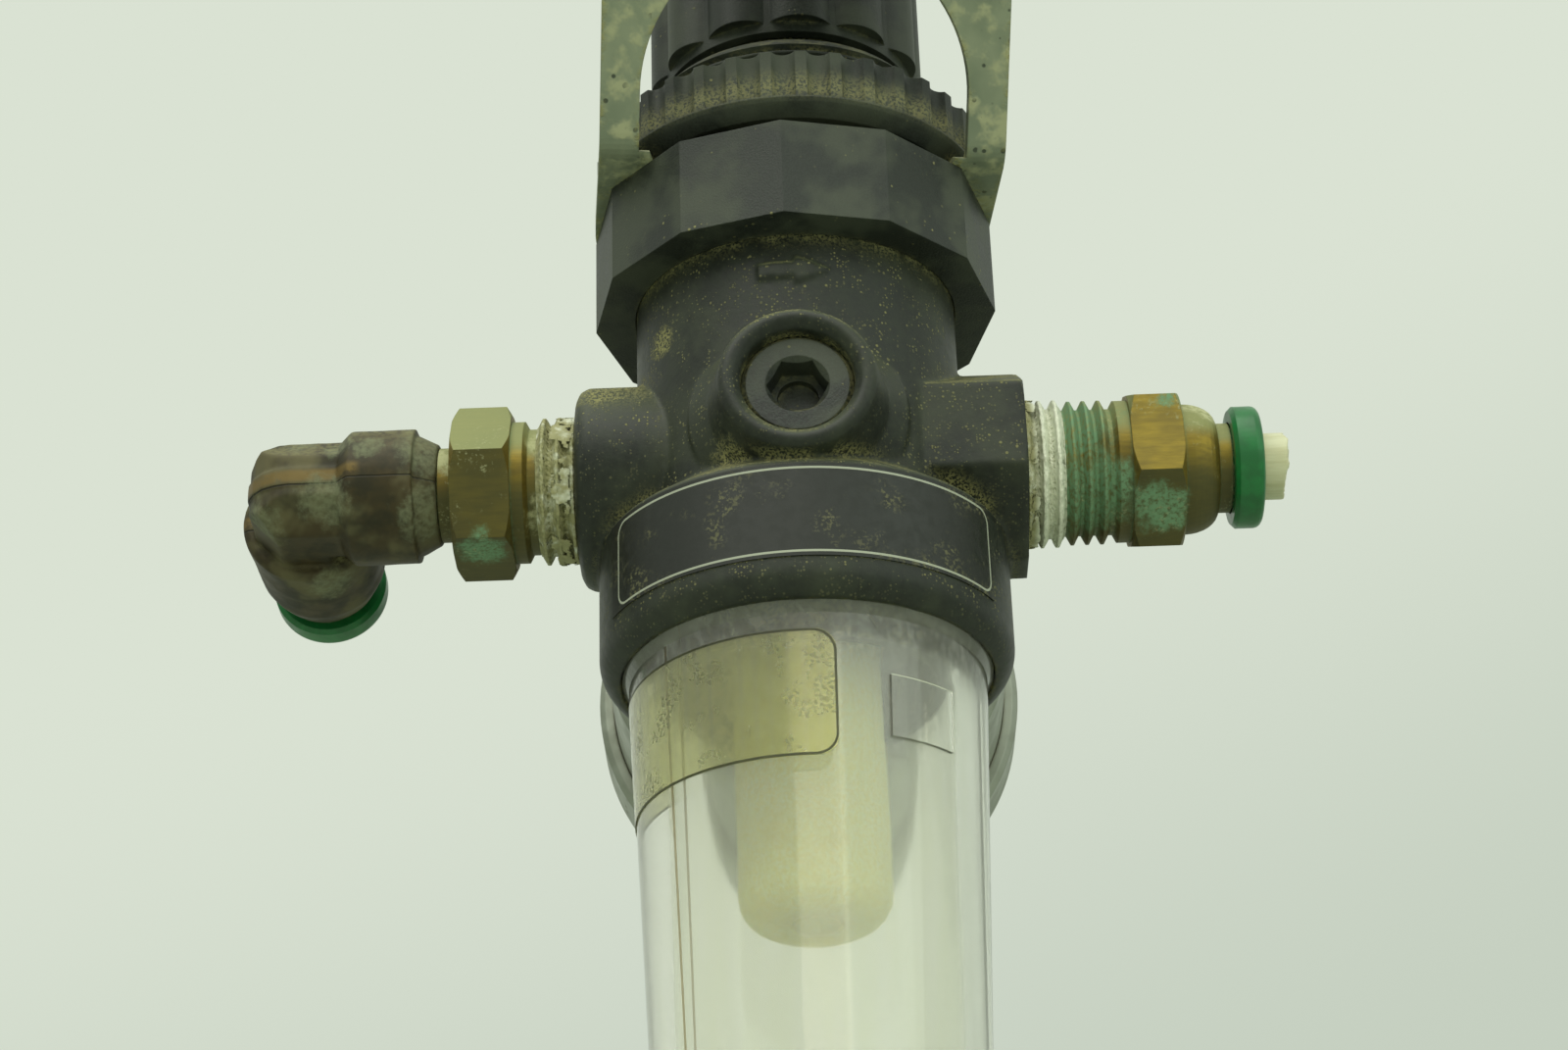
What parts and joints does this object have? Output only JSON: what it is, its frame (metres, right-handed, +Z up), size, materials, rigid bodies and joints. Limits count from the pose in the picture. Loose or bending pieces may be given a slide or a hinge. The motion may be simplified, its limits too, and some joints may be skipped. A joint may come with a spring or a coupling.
{
  "type": "compressed air filter regulator",
  "caption": "Miniature compressed-air filter regulator: knob and range spring above a ported body, clear bowl with filter element below, neck bracket, rear gauge, push-in tube fittings.",
  "frame": {"origin": "centre of the drain outlet's mouth, the lowest point, on the main axis", "axes": "+Z up the main axis to the knob, +X along the flow from the elbow to the straight fitting, +Y towards the gauge; the bracket's wall plate is on the -Y side, turned 5.7 degrees round the neck"},
  "size_m": [0.1, 0.0861, 0.1571],
  "materials": {
    "die_cast": "satin black paint on a zinc die casting, dusty",
    "label_film": "bare black label film",
    "black_acetal": "moulded black acetal",
    "zinc_plated_steel": "zinc plated sheet steel with dirt",
    "steel": "bright plated steel",
    "spring_steel": "drawn spring wire",
    "bright_brass": "clean machined brass",
    "worn_brass": "worn machined brass with dirt",
    "brown_brass": "oxidised forged brass",
    "plated_plug": "black plated steel",
    "nitrile": "black nitrile rubber",
    "porous_plastic": "sintered porous polyethylene",
    "clear_polycarbonate": "clear polycarbonate",
    "clear_film": "aged clear label film",
    "green_acetal": "moulded green acetal",
    "natural_tube": "natural polyethylene",
    "ptfe_tape": "wound sealing tape",
    "dulled_nickel": "dulled nickel plated steel",
    "white_dial": "white painted aluminium",
    "black_pointer": "black painted aluminium",
    "gauge_glass": "flat clear window"
  },
  "bodies": {
    "regulator": {"body": "die_cast", "body_label": "label_film", "bonnet": "black_acetal", "panel_nut": "black_acetal", "bracket": "zinc_plated_steel", "slip_ring": "steel", "diaphragm": "nitrile", "valve_guide": "black_acetal", "guide_seal": "nitrile", "valve_spring": "spring_steel", "deflector": "black_acetal", "filter_element": "porous_plastic", "gauge_port_plug": "plated_plug", "gauge_socket": "worn_brass", "gauge_case": "dulled_nickel", "gauge_bezel": "dulled_nickel", "gauge_window": "gauge_glass", "gauge_dial": "white_dial", "movement_plate": "bright_brass", "bourdon_tube": "bright_brass", "elbow_stem": "worn_brass", "elbow_stem_seal": "nitrile", "straight_body": "worn_brass", "straight_tube_seal": "nitrile", "straight_gripper": "steel", "tube_stub": "natural_tube", "inlet_tape": "ptfe_tape", "outlet_tape": "ptfe_tape"},
    "adjuster": {"adjusting_screw": "steel"},
    "knob": {"knob": "black_acetal"},
    "rest_nut": {"spring_rest_nut": "bright_brass"},
    "plate": {"pressure_plate": "steel", "relief_hub": "bright_brass", "range_spring": "spring_steel"},
    "valve": {"poppet": "bright_brass", "poppet_seal": "nitrile"},
    "sector": {"sector_gear": "bright_brass"},
    "pointer": {"gauge_pointer": "black_pointer", "pointer_pinion": "bright_brass"},
    "elbow": {"elbow_body": "brown_brass", "elbow_tube_seal": "nitrile", "elbow_gripper": "steel"},
    "elbow_ring": {"elbow_release_ring": "green_acetal"},
    "outlet_ring": {"straight_release_ring": "green_acetal"},
    "bowl_thread": {"bowl_seal": "nitrile"},
    "bowl": {"bowl": "clear_polycarbonate", "bowl_film": "clear_film", "drain_body": "black_acetal", "drain_seal": "nitrile", "drain_nut": "black_acetal"},
    "drain": {"drain_tap": "black_acetal"}
  },
  "joints": [
    {"name": "knob_turn", "type": "hinge", "parent": "regulator", "child": "adjuster", "pos_m": [0, 0, 0.1361], "axis": [0, 0, -1], "range_deg": [0, 1440]},
    {"name": "knob_push", "type": "slide", "parent": "adjuster", "child": "knob", "axis": [0, 0, -1], "range_m": [0, 0.0014]},
    {"name": "nut_travel", "type": "slide", "parent": "regulator", "child": "rest_nut", "axis": [0, 0, -1], "range_m": [0, 0.006], "deforming": ["range_spring"]},
    {"name": "diaphragm_travel", "type": "slide", "parent": "regulator", "child": "plate", "axis": [0, 0, -1], "range_m": [0, 0.0008], "stiffness_N_per_m": 600, "springref_m": -0.002, "deforming": ["diaphragm"]},
    {"name": "valve_travel", "type": "slide", "parent": "regulator", "child": "valve", "axis": [0, 0, -1], "range_m": [0, 0.0008], "deforming": ["valve_spring"]},
    {"name": "sector_turn", "type": "hinge", "parent": "regulator", "child": "sector", "pos_m": [0, 0.041, 0.0726], "axis": [0, 1, 0], "range_deg": [0, 33.75], "stiffness_Nm_per_rad": 0.002, "springref_deg": -5.73},
    {"name": "pointer_turn", "type": "hinge", "parent": "regulator", "child": "pointer", "pos_m": [0, 0.041, 0.0861], "axis": [0, -1, 0], "range_deg": [0, 270]},
    {"name": "elbow_swivel", "type": "hinge", "parent": "regulator", "child": "elbow", "pos_m": [-0.037, 0, 0.0861], "axis": [-1, 0, 0], "continuous": true},
    {"name": "elbow_ring_push", "type": "slide", "parent": "elbow", "child": "elbow_ring", "axis": [0, -1, 0], "range_m": [0, 0.001], "stiffness_N_per_m": 200, "springref_m": -0.0005},
    {"name": "outlet_ring_push", "type": "slide", "parent": "regulator", "child": "outlet_ring", "axis": [-1, 0, 0], "range_m": [0, 0.001], "stiffness_N_per_m": 200, "springref_m": -0.0005},
    {"name": "bowl_drop", "type": "slide", "parent": "regulator", "child": "bowl_thread", "axis": [0, 0, -1], "range_m": [0, 0.006]},
    {"name": "bowl_turn", "type": "hinge", "parent": "bowl_thread", "child": "bowl", "pos_m": [0, 0, 0.0711], "axis": [0, 0, -1], "range_deg": [0, 720]},
    {"name": "drain_turn", "type": "hinge", "parent": "bowl", "child": "drain", "pos_m": [0, 0, 0.006], "axis": [0, 0, -1], "range_deg": [0, 90]}
  ],
  "couplings": [
    {"joint": "nut_travel", "follows": "knob_turn", "m_per_rad": 0.00023873},
    {"joint": "valve_travel", "follows": "diaphragm_travel", "ratio": 1},
    {"joint": "pointer_turn", "follows": "sector_turn", "ratio": 8},
    {"joint": "bowl_drop", "follows": "bowl_turn", "m_per_rad": 0.00047746}
  ]
}
